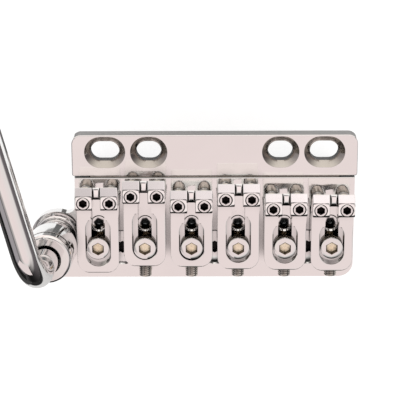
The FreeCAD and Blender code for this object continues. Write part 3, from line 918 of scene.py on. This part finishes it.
@dataclass
class PlatePair:
    """The fixed front plate, the tilting bridge plate and the rod between them."""

    workshop: Workshop
    plate_edge: float = 0.12 * MM
    rod_edge: float = 0.2 * MM
    plate_margin: float = 0.6 * MM
    sunk_slopes: Pair = (0.05, 0.95)
    painted_hole_shade_radius: float = 1.3 * MM
    recess_lip: float = 0.3 * MM

    def build(self) -> None:
        """Finish the plates and the rod."""
        palette = self.workshop.palette
        edges = EdgeBreak(width=self.plate_edge)
        self.paint_countersink_shade(self.workshop.dress("front_plate", palette.front, Slot.NICKEL, edges))
        self.painted_hole_shade(self.workshop.dress("bridge_plate", palette.bridge, Slot.NICKEL, edges))
        self.workshop.dress("pivot_rod", palette.screw, Slot.STEEL, EdgeBreak(width=self.rod_edge))

    def paint_countersink_shade(self, plate: Object) -> None:
        """Give the countersinks of the slots a rougher finish, as they were cut, and a darker colour that
        paints in their shade.

        Args:
            plate: The finished front plate.
        """
        low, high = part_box("front_plate")
        margin = self.plate_margin
        flattest, steepest = self.sunk_slopes
        plate.data.materials.append(self.workshop.palette.countersink)
        for polygon in plate.data.polygons:
            centre = polygon.center
            inside = all(low[axis] + margin < centre[axis] < high[axis] - margin for axis in (0, 1))
            if inside and flattest < polygon.normal.z < steepest:
                polygon.material_index = len(plate.data.materials) - 1

    def painted_hole_shade(self, plate: Object) -> None:
        """Mark the string holes for painted shade: their floors and bores are painted near black, as they lie
        deep in shade under the saddles.

        Args:
            plate: The finished bridge plate.
        """
        mesh = plate.data
        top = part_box("front_plate")[1].z - self.recess_lip
        mounts = frame["record"]["mounts"]
        bores = [mount["pos_m"] for mount in mounts if mount["name"].startswith("ball_bore")]
        marks = mesh.attributes.new(BRIDGE_NICKEL.painted_hole_shade, "FLOAT", "POINT")
        marks.data.foreach_set("value", [
            float(vertex.co.z < top and any(
                math.hypot(vertex.co.x - x, vertex.co.y - y) < self.painted_hole_shade_radius for x, y, _ in bores))
            for vertex in mesh.vertices
        ])


@dataclass
class StringBlock:
    """The block below the plate and the three screws that hold it."""

    workshop: Workshop
    screws: ScrewMaker
    block_edge: float = 0.3 * MM
    screw_count: int = 3
    screw: Screw = Screw(
        thread_radius=2.0 * MM,
        foot_radius=1.4 * MM,
        foot_height=0.5 * MM,
        socket_flats=2.5 * MM,
        socket_depth=1.5 * MM,
        head_radius=4.15 * MM,
        head_height=2.15 * MM,
        countersunk=True,
        pitch=0.7 * MM,
        thread_depth=0.36 * MM,
    )

    def build(self) -> None:
        """Finish the block and its screws."""
        palette = self.workshop.palette
        self.workshop.dress("sustain_block", palette.block, Slot.STEEL, EdgeBreak(width=self.block_edge))
        low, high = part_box("block_screws")
        radius = self.screw.head_radius
        start = Vector((low.x + radius, (low.y + high.y) / 2, low.z))
        step = (high.x - low.x - 2 * radius) / (self.screw_count - 1)
        # Painted shade inside the sockets.
        finishes = ScrewFinishes(palette.nickel, palette.nickel, palette.shaded_socket, palette.shaded_socket)
        self.screws.make(
            "block_screws", self.screw.reaching(high.z - low.z), start, UPRIGHT, finishes, Slot.NICKEL,
            self.screw_count, (step, 0.0, 0.0))


@dataclass
class SaddleRow:
    """Six saddles with their height, lock and intonation screws."""

    workshop: Workshop
    screws: ScrewMaker
    count: int = 6
    saddle_edge: float = 0.2 * MM
    slot_half: float = 1.8 * MM
    slot_reach: float = 9.0 * MM
    bore_top: float = 3.7 * MM
    step_corner: float = 0.5 * MM
    rim_slopes: Pair = (0.1, 0.95)
    rim_lean: float = 0.3
    head_slope: float = 0.8
    head_depth: float = 1.6 * MM
    height_sizes: Screw = Screw(
        foot_radius=0.9 * MM,
        foot_height=0.6 * MM,
        socket_flats=1.5 * MM,
        socket_depth=1.6 * MM,
        socket_lead=0.18 * MM,
    )
    lock_sizes: Screw = Screw(
        foot_radius=1.1 * MM,
        foot_height=0.4 * MM,
        socket_flats=2.5 * MM,
        socket_depth=1.5 * MM,
        socket_lead=0.14 * MM,
        head_radius=2.7 * MM,
        head_height=2.0 * MM,
    )
    intonation_sizes: Screw = Screw(
        foot_radius=1.0 * MM,
        foot_height=0.5 * MM,
        socket_flats=1.5 * MM,
        socket_depth=1.6 * MM,
        thread_depth=0.1 * MM,
    )

    def build(self) -> None:
        """Finish every saddle and its screws."""
        palette = self.workshop.palette
        shaded_brown, dark = palette.shaded_brown_socket, palette.shaded_socket
        # Near-black socket walls and floors: painted shade.
        height = ScrewFinishes(palette.screw, palette.nickel, dark, dark)
        # Lock screws: painted shade on the head's side and socket walls, painted light on the socket's floor.
        lock = ScrewFinishes(shaded_brown, palette.nickel, shaded_brown, palette.lit_warm_socket)
        intonation = ScrewFinishes(palette.screw, palette.screw, dark, dark)
        for number in range(1, self.count + 1):
            self.saddle(f"saddle_{number}")
            for side in Side:
                self.upright_screw(f"height_screw_{number}_{side.value}", self.height_sizes, height)
            self.upright_screw(f"lock_screw_{number}", self.lock_sizes, lock)
            self.intonation_screw(f"intonation_screw_{number}", intonation)

    def saddle(self, node: str) -> None:
        """Finish a saddle.

        Args:
            node: CAD node.
        """
        palette = self.workshop.palette
        slot = self.slot_of(f"{node}_slide")
        # The broken edges get the rim's painted dark reflection.
        edges = EdgeBreak(width=self.saddle_edge, broken_index=SaddleFace.RIM, clamp=False, spare=slot)
        others = (palette.saddle_edge, palette.saddle_head_highlight)
        self.paint_saddle_light(self.workshop.dress(node, palette.saddle, Slot.NICKEL, edges, others))

    def slot_of(self, slide: str) -> Callable[[Vector], bool]:
        """Find the string slot and tail bore of a saddle, whose thin walls have no room for broken edges.

        Args:
            slide: Name of the saddle's joint, which is placed at the step behind its head.

        Returns:
            A test of whether a point lies in the slot or the bore.
        """
        joints = frame["record"]["behaviour"]["joints"]
        middle, step, foot = next(joint["pos_m"] for joint in joints if joint["name"] == slide)
        return lambda point: (
            abs(point.x - middle) < self.slot_half and point.y - step < self.step_corner
            and (point.y - step > -self.slot_reach or point.z - foot < self.bore_top))

    def paint_saddle_light(self, saddle: Object) -> None:
        """Paint light on a saddle: a brighter copy of the nickel on the top of its head as a painted
        highlight, and a darker copy on its rounded rims as a painted dark reflection.

        Args:
            saddle: The finished saddle.
        """
        level = max(vertex.co.z for vertex in saddle.data.vertices) - self.head_depth
        flattest, steepest = self.rim_slopes
        for polygon in saddle.data.polygons:
            normal = polygon.normal
            if flattest < normal.z < steepest and normal.y < self.rim_lean:
                polygon.material_index = SaddleFace.RIM
            elif (polygon.material_index == SaddleFace.BODY and normal.z > self.head_slope
                  and polygon.center.z > level):
                polygon.material_index = SaddleFace.HEAD

    def upright_screw(self, node: str, sizes: Screw, finishes: ScrewFinishes) -> None:
        """Finish a screw that stands in a saddle.

        Args:
            node: CAD node.
            sizes: Sizes of the screw.
            finishes: Its materials.
        """
        low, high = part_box(node)
        start = Vector(((low.x + high.x) / 2, (low.y + high.y) / 2, low.z))
        self.screws.make(node, sizes.reaching(high.z - low.z), start, UPRIGHT, finishes, Slot.STEEL)

    def intonation_screw(self, node: str, finishes: ScrewFinishes) -> None:
        """Finish a set screw that lies along the strings, with its socket at the tail.

        Args:
            node: CAD node.
            finishes: Its materials.
        """
        low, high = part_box(node)
        start = Vector(((low.x + high.x) / 2, high.y, (low.z + high.z) / 2))
        screw = self.intonation_sizes.reaching(high.y - low.y)
        self.screws.make(node, screw, start, LYING, finishes, Slot.STEEL)


@dataclass
class SwingArm:
    """The bent arm with its collar, socket and bush."""

    workshop: Workshop
    edge: float = 0.1 * MM

    def build(self) -> None:
        """Finish the arm and what holds it."""
        palette = self.workshop.palette
        edges = EdgeBreak(width=self.edge)
        self.workshop.dress("arm", palette.nickel, Slot.NICKEL, edges)
        for node in ("arm_collar", "arm_socket"):
            self.workshop.dress(node, palette.collar, Slot.NICKEL, edges)
        self.workshop.dress("arm_bush", palette.nylon, Slot.NYLON, edges)


@dataclass(frozen=True)
class PhotoCamera:
    """Camera above the neck's end of the bridge, looking down and back."""

    place: Point = (-3.642, 110.754, 381.687)
    tilt_degrees: float = 18.0
    yaw: float = 0.000263
    roll: float = -0.003
    focal_pixels: float = 1649.69
    clip_start: float = 0.01
    clip_end: float = 20.0

    def build(self) -> None:
        """Make the scene's camera."""
        tilt = math.radians(self.tilt_degrees)
        forward = Vector((0.0, -math.sin(tilt), -math.cos(tilt)))
        upward = Vector((0.0, math.cos(tilt), -math.sin(tilt)))
        right = Vector((1.0, 0.0, 0.0))
        ahead = forward * math.cos(self.yaw) + right * math.sin(self.yaw)
        across = right * math.cos(self.yaw) - forward * math.sin(self.yaw)
        side = across * math.cos(self.roll) + upward * math.sin(self.roll)
        top = upward * math.cos(self.roll) - across * math.sin(self.roll)
        matrix = Matrix((side, top, -ahead)).transposed().to_4x4()
        matrix.translation = Vector(self.place) * MM
        data = bpy.data.cameras.new("photo_camera")
        data.sensor_width = SENSOR_WIDTH
        data.lens = self.focal_pixels / IMAGE_SIDE * SENSOR_WIDTH
        data.clip_start = self.clip_start
        data.clip_end = self.clip_end
        camera = bpy.data.objects.new("photo_camera", data)
        camera.matrix_world = matrix
        bpy.context.scene.collection.objects.link(camera)
        bpy.context.scene.camera = camera


@dataclass(frozen=True)
class SkySide:
    """Tones of the studio's walls and ceiling in one direction, by elevation in degrees."""

    stops: tuple[tuple[float, Colour], ...]
    lowest: float = -10.0
    span: float = 100.0

    def ramp(self, sockets: Sockets, height: NodeSocket) -> NodeSocket:
        """Add the colour ramp of this side.

        Args:
            sockets: Builder of the dome's tree.
            height: Elevation in degrees.

        Returns:
            The tone at that elevation.
        """
        node = sockets.add("ShaderNodeValToRGB")
        elements = node.color_ramp.elements
        while len(elements) < len(self.stops):
            elements.new(1.0)
        for element, (degrees, tone) in zip(elements, self.stops):
            element.position = (degrees - self.lowest) / self.span
            element.color = (*tone, 1.0)
        rise = sockets.math("SUBTRACT", height, self.lowest)
        sockets.fill(node, {"Fac": sockets.math("DIVIDE", rise, self.span)})
        return node.outputs["Color"]


CEILING: Colour = (0.975, 0.845, 0.83)
NORTH = SkySide((
    (-10.0, (1.27, 1.04, 1.00)),
    (2.0, (1.27, 1.04, 1.00)),
    (8.0, (1.35, 1.28, 1.20)),
    (26.0, (1.45, 1.38, 1.30)),
    (44.0, (0.88, 0.86, 0.84)),
    (56.8, (0.88, 0.86, 0.84)),
    (57.6, (0.03, 0.03, 0.03)),
    (70.0, (0.03, 0.03, 0.03)),
    (70.6, CEILING),
    (90.0, CEILING),
))
EAST = SkySide((
    (-10.0, (0.12, 0.11, 0.11)),
    (26.0, (0.18, 0.16, 0.17)),
    (38.0, (0.92, 0.87, 0.85)),
    (90.0, CEILING),
))
SOUTH = SkySide((
    (-10.0, (0.01, 0.01, 0.01)),
    (46.0, (0.01, 0.01, 0.01)),
    (54.0, (0.85, 0.82, 0.80)),
    (60.0, CEILING),
    (90.0, CEILING),
))
WEST = SkySide((
    (-10.0, (0.50, 0.47, 0.49)),
    (44.0, (0.60, 0.56, 0.58)),
    (47.0, (0.14, 0.13, 0.13)),
    (60.0, (0.14, 0.13, 0.13)),
    (63.0, (0.99, 0.93, 0.87)),
    (90.0, CEILING),
))


@dataclass(frozen=True)
class FloorCard:
    """A grey card on the floor between two corners, seen only in the metal as a painted reflection of shade.
    """

    name: str
    shade: float
    low: Pair
    high: Pair
    lift: float = 0.3 * MM


# Cards seen only in the metal: painted reflections of the shaded floor and the dark room around the object.
FLOOR_CARDS = (
    FloorCard("grey_strip", 0.45, (-0.05, 0.0118), (0.05, 0.03)),
    FloorCard("left_strip", 0.40, (-0.05, 0.001), (-0.0355, 0.0118)),
    FloorCard("right_strip", 0.40, (0.0355, -0.004), (0.05, 0.0118)),
    FloorCard("slot_shade", 0.22, (-0.0355, -0.012), (0.0355, 0.0118)),
    FloorCard("pale_sheet", 0.80, (-0.07, -0.15), (0.5, -0.04)),
    FloorCard("far_sheet", 0.03, (-0.07, -0.62), (0.6, -0.15)),
    FloorCard("corner_sheet", 0.07, (-0.6, -0.62), (-0.07, -0.045), lift=0.9 * MM),
    FloorCard("dark_sheet", 0.06, (-0.6, -0.4), (-0.12, 0.15), lift=0.6 * MM),
)


class Glow:
    """A material that only gives light, for what the metal mirrors."""

    def __init__(self, name: str) -> None:
        """Make the material.

        Args:
            name: Name of the material.
        """
        self.material, self.sockets, shader = node_material(name)
        nodes = self.material.node_tree.nodes
        nodes.remove(shader)
        self.light = self.sockets.add("ShaderNodeEmission")
        self.sockets.fill(nodes["Material Output"], {"Surface": self.light.outputs[0]})
        self.material.cycles.emission_sampling = "NONE"

    def shine(self, colour: Any, strength: Any = 1.0) -> Material:
        """Set the light.

        Args:
            colour: Colour, or the socket that gives it.
            strength: Strength, or the socket that gives it.

        Returns:
            The material.
        """
        plain = isinstance(colour, tuple)
        self.sockets.fill(self.light, {"Color": (*colour, 1.0) if plain else colour, "Strength": strength})
        return self.material


@dataclass
class Studio:
    """White floor, even light, and the walls and cards that shape the reflections."""

    floor_level: float
    floor_half: float = 4.0
    floor_glow: float = 0.75
    floor_colour: Colour = (0.4, 0.4, 0.4)
    world_colour: Colour = (1.0, 0.985, 0.975)
    dome_radius: float = 0.6
    dome_steps: int = 48
    corner_near: float = -0.15
    corner_far: float = -0.35
    corner_top: float = 0.10
    corner_shade: float = 0.02
    window_height: float = 0.30
    window_half: float = 0.12
    window_reach: Pair = (0.176, 0.25)
    window_fade: Pair = (-0.055, 0.045)
    window_dim: float = 0.62
    window_bright: float = 1.05
    window_colour: Colour = (1.04, 0.935, 0.93)
    rose_half: float = 0.35
    rose_reach: Pair = (0.032, 0.28)
    rose_top: float = 0.025
    rose_lift: float = 0.3 * MM
    rose_colour: Colour = (1.23, 1.09, 1.05)
    elbow_reach: Pair = (-0.14, -0.01)
    elbow_place: float = -0.10
    elbow_heights: Pair = (0.072, 0.15)
    elbow_colour: Colour = (0.93, 0.82, 0.81)

    def build(self) -> None:
        """Set the scene."""
        bpy.context.scene.view_settings.view_transform = "Standard"
        self.world()
        self.floor()
        self.dome()
        self.floor_cards()
        self.corner_board()
        self.window()
        self.rose_boards()
        self.elbow_board()

    def world(self) -> None:
        """Light everything evenly."""
        world = bpy.data.worlds.new("studio")
        world.use_nodes = True
        world.node_tree.nodes["Background"].inputs["Color"].default_value = (*self.world_colour, 1.0)
        bpy.context.scene.world = world

    def staged(self, name: str, mesh: Mesh, material: Material) -> Object:
        """Add a staging object.

        Args:
            name: Name of the object.
            mesh: Its mesh.
            material: Its material.

        Returns:
            The object, marked as staging.
        """
        mesh.materials.append(material)
        thing = bpy.data.objects.new(name, mesh)
        bpy.context.scene.collection.objects.link(thing)
        thing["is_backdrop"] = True
        return thing

    def plane(self, name: str, corners: Sequence[Point], material: Material) -> Object:
        """Add one flat staging face.

        Args:
            name: Name of the object.
            corners: Its corners in order.
            material: Its material.

        Returns:
            The object, marked as staging.
        """
        mesh = bpy.data.meshes.new(name)
        mesh.from_pydata(list(corners), [], [tuple(range(len(corners)))])
        return self.staged(name, mesh, material)

    def sheet(self, name: str, low: Pair, high: Pair, level: float, material: Material) -> Object:
        """Add a level staging face between its lowest and highest X and Y."""
        corners = ((*low, level), (high[0], low[1], level), (*high, level), (low[0], high[1], level))
        return self.plane(name, corners, material)

    def board(self, name: str, left: Pair, right: Pair, heights: Pair, material: Material) -> Object:
        """Add an upright staging face between two feet and two heights."""
        low, high = heights
        return self.plane(name, ((*left, low), (*right, low), (*right, high), (*left, high)), material)

    def only_mirrored(self, card: Object) -> None:
        """Let a card be seen in the metal and nowhere else.

        Args:
            card: Staging object.
        """
        card.visible_camera = False
        card.visible_diffuse = False
        card.visible_shadow = False
        card.visible_transmission = False

    def reflection_card(self, name: str, shade: float) -> Material:
        """Make the dull grey of a card that paints reflected shade.

        Args:
            name: Name of the material.
            shade: How light it is.

        Returns:
            The material.
        """
        material, sockets, shader = node_material(name)
        sockets.fill(shader, {
            "Base Color": (shade, shade, shade, 1.0),
            "Roughness": 1.0,
            "Specular IOR Level": 0.0,
        })
        return material

    def floor(self) -> None:
        """Lay the white floor, which keeps the object's soft shadow."""
        material, sockets, shader = node_material("white_floor")
        nodes = material.node_tree.nodes
        nodes.remove(shader)
        path = sockets.add("ShaderNodeLightPath").outputs
        seen = sockets.math("ADD", path["Is Camera Ray"], path["Is Glossy Ray"])
        seen = sockets.math("MINIMUM", sockets.math("ADD", seen, path["Is Transmission Ray"]), 1.0)
        strength = sockets.math("MULTIPLY", seen, self.floor_glow)
        glow = sockets.add("ShaderNodeEmission", {"Strength": strength})
        dull = sockets.add("ShaderNodeBsdfDiffuse", {"Color": (*self.floor_colour, 1.0)})
        both = sockets.add("ShaderNodeAddShader", {0: dull.outputs[0], 1: glow.outputs[0]})
        sockets.fill(nodes["Material Output"], {"Surface": both.outputs[0]})
        half = self.floor_half
        self.sheet("floor", (-half, -half), (half, half), self.floor_level, material)

    def dome(self) -> None:
        """Put up the walls and ceiling that the metal mirrors."""
        glow = Glow("studio_walls")
        sockets = glow.sockets
        place = sockets.add("ShaderNodeTexCoord").outputs["Object"]
        ray = sockets.axes(sockets.vector("NORMALIZE", {0: place}))
        height = sockets.math("DEGREES", sockets.math("ARCSINE", ray["Z"]))
        level = sockets.vector("MULTIPLY", {0: place, 1: (1.0, 1.0, 0.0)})
        compass = sockets.axes(sockets.vector("NORMALIZE", {0: level}))
        total: Any = (0.0, 0.0, 0.0)
        for side, axis, sign in ((EAST, "X", 1.0), (WEST, "X", -1.0), (NORTH, "Y", 1.0), (SOUTH, "Y", -1.0)):
            facing = sockets.math("MAXIMUM", sockets.math("MULTIPLY", compass[axis], sign), 0.0)
            weight = sockets.math("MULTIPLY", facing, facing)
            share = sockets.vector("SCALE", {0: side.ramp(sockets, height), "Scale": weight})
            total = sockets.vector("ADD", {0: total, 1: share})
        shape = bmesh.new()
        bmesh.ops.create_uvsphere(
            shape, u_segments=self.dome_steps, v_segments=self.dome_steps // 2, radius=self.dome_radius)
        mesh = bpy.data.meshes.new("studio_walls")
        shape.to_mesh(mesh)
        shape.free()
        self.only_mirrored(self.staged("studio_walls", mesh, glow.shine(total)))

    def floor_cards(self) -> None:
        """Lay grey and pale cards below and beside the object, seen only in the metal as painted reflections
        of shade.
        """
        for card in FLOOR_CARDS:
            reflection_card = self.reflection_card(f"{card.name}_paper", card.shade)
            level = self.floor_level + card.lift
            self.only_mirrored(self.sheet(card.name, card.low, card.high, level, reflection_card))

    def corner_board(self) -> None:
        """Stand a dark board across the corner behind the arm, seen only in the metal as a painted dark
        reflection.
        """
        left, right = (self.corner_far, self.corner_near), (self.corner_near, self.corner_far)
        heights = (self.floor_level, self.corner_top)
        reflection_card = self.reflection_card("board_paper", self.corner_shade)
        self.only_mirrored(self.board("corner_board", left, right, heights, reflection_card))

    def window(self) -> None:
        """Hang a window over the neck, brighter to the right, for the fronts of the saddles' heads."""
        glow = Glow("window")
        place = glow.sockets.axes(glow.sockets.add("ShaderNodeTexCoord").outputs["Object"])
        strength = glow.sockets.ramp(place["X"], self.window_fade, self.window_dim, self.window_bright)
        material = glow.shine(self.window_colour, strength)
        half, (near, far) = self.window_half, self.window_reach
        self.only_mirrored(self.sheet("window", (-half, near), (half, far), self.window_height, material))

    def rose_boards(self) -> None:
        """Lay and stand rosy boards out on the neck's side, which the undersides of the heads mirror."""
        material = Glow("rose_board").shine(self.rose_colour)
        half, (near, far), level = self.rose_half, self.rose_reach, self.floor_level
        board = self.board("rose_board", (-half, far), (half, far), (level, self.rose_top), material)
        sheet = self.sheet("rose_sheet", (-half, near), (half, far), level + self.rose_lift, material)
        for card in (board, sheet):
            self.only_mirrored(card)

    def elbow_board(self) -> None:
        """Stand a light board behind the bend of the arm, which would else mirror the dark wall."""
        left, right = ((x, self.elbow_place) for x in self.elbow_reach)
        material = Glow("elbow_board").shine(self.elbow_colour)
        self.only_mirrored(self.board("elbow_board", left, right, self.elbow_heights, material))


def main(cad_box: tuple[Vector, Vector]) -> None:
    """Build the scene in order.

    Args:
        cad_box: Corners of the solids' box.
    """
    logging.basicConfig(level=logging.INFO, format="%(message)s")
    workshop = Workshop(Palette())
    screws = ScrewMaker(workshop)
    PlatePair(workshop).build()
    StringBlock(workshop, screws).build()
    SaddleRow(workshop, screws).build()
    SwingArm(workshop).build()
    PhotoCamera().build()
    Studio(floor_level=cad_box[0].z - FLOOR_GAP).build()


if __name__ == "__main__":
    main(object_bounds())
